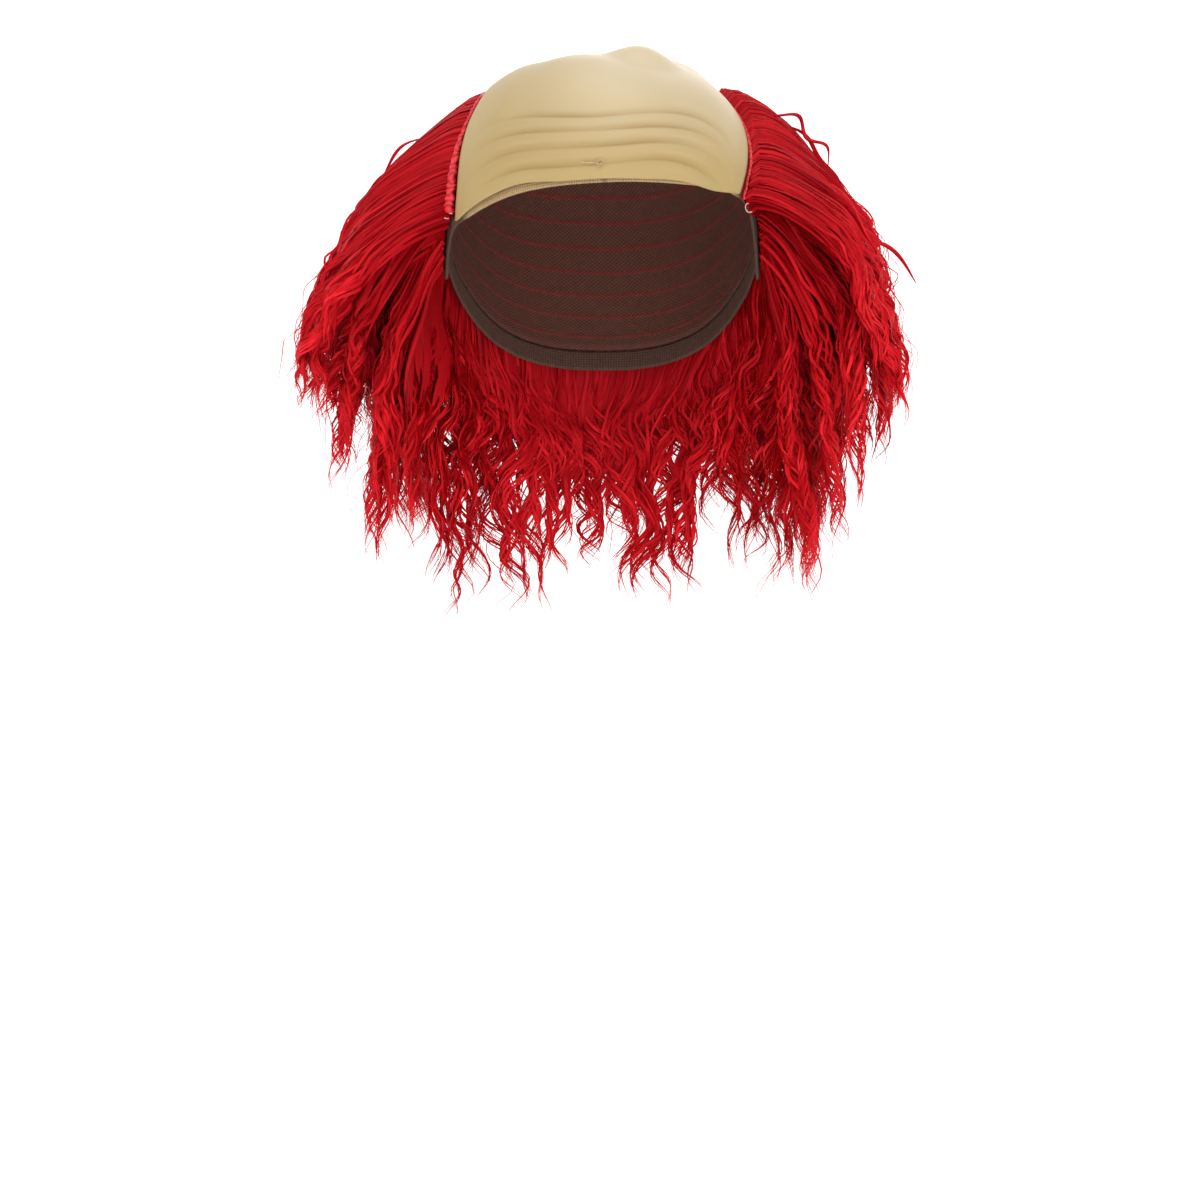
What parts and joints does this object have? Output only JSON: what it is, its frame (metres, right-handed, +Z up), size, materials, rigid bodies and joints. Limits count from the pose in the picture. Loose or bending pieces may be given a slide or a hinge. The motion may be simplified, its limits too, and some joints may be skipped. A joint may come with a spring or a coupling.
{
  "type": "clown wig",
  "caption": "Bald-fronted clown wig: wrinkled latex scalp on an elastic net cap, with long waved hair round the sides and back.",
  "frame": {"origin": "where the crown of the wearer's head meets the inside of the wig", "axes": "+Z up, the face looks along -Y, and +X is on the right of someone who looks at the face"},
  "size_m": [0.2985, 0.2614, 0.277],
  "materials": {
    "latex": "satin tan latex",
    "elastic": "ribbed brown elastic",
    "net": "open dark net",
    "braid": "glossy plaited red thread",
    "hair": "glossy waved synthetic fibre"
  },
  "bodies": {
    "root": {"latex_scalp": "latex", "elastic_band": "elastic", "net_cap": "net", "seam_braid": "braid", "upper_hair_left": "hair", "upper_hair_back": "hair", "upper_hair_right": "hair", "middle_hair_left": "hair", "middle_hair_back": "hair", "middle_hair_right": "hair", "lower_hair_left": "hair", "lower_hair_back": "hair", "lower_hair_right": "hair"}
  },
  "joints": []
}
